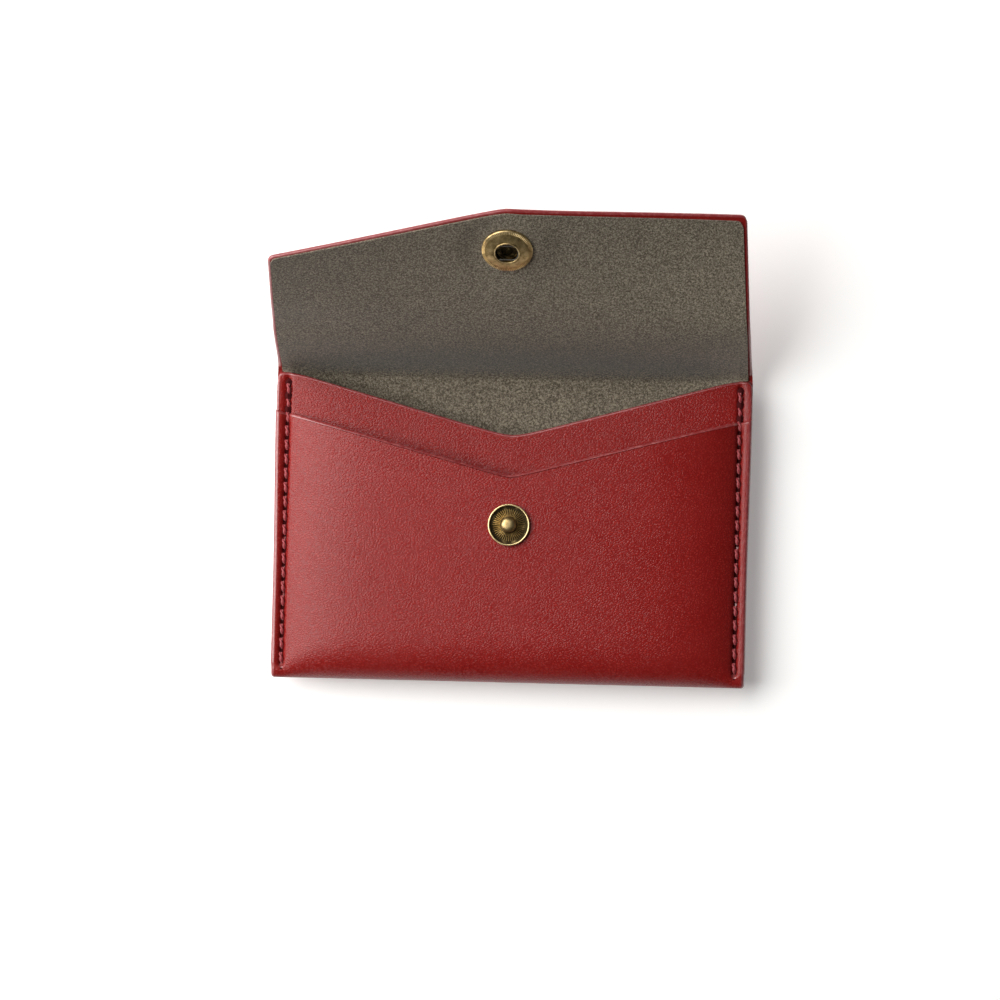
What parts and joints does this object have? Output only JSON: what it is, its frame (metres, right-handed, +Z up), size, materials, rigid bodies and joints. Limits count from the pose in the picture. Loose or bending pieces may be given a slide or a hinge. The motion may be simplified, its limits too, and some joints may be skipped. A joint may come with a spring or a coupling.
{
  "type": "snap wallet",
  "caption": "Small envelope wallet of lined red leather: a divided pocket with V-cut edges, stitched sides and a pointed flap on a fold crease, closed by a brass spring snap.",
  "frame": {"origin": "middle of the back panel's flat outer face, which lies on the table", "axes": "+X to the right across the wallet, +Y from the bottom fold towards the flap's crease, +Z up from the back to the front"},
  "size_m": [0.108, 0.1043, 0.0492],
  "materials": {
    "leather": "fine grain, semi-matt, painted edges",
    "lining": "grey microsuede",
    "thread": "waxed twisted thread",
    "brass": "antique, dark in the recesses",
    "spring_wire": "dark drawn wire"
  },
  "bodies": {
    "pocket_body": {"front_panel": "leather", "bottom_fold": "leather", "back_panel": "leather", "spine": "leather", "divider_panel": "leather", "front_lining": "lining", "fold_lining": "lining", "back_lining": "lining", "spine_lining": "lining", "left_front_thread": "thread", "right_front_thread": "thread", "left_back_thread": "thread", "right_back_thread": "thread", "snap_stud": "brass", "stud_post": "brass"},
    "flap": {"flap_panel": "leather", "flap_lining": "lining", "snap_cap": "brass", "snap_socket": "brass", "socket_spring": "spring_wire"}
  },
  "joints": [
    {"name": "flap_fold", "type": "hinge", "parent": "pocket_body", "child": "flap", "pos_m": [0, 0.03642, 0.01617], "axis": [1, 0, 0], "range_deg": [-57, 135]}
  ]
}
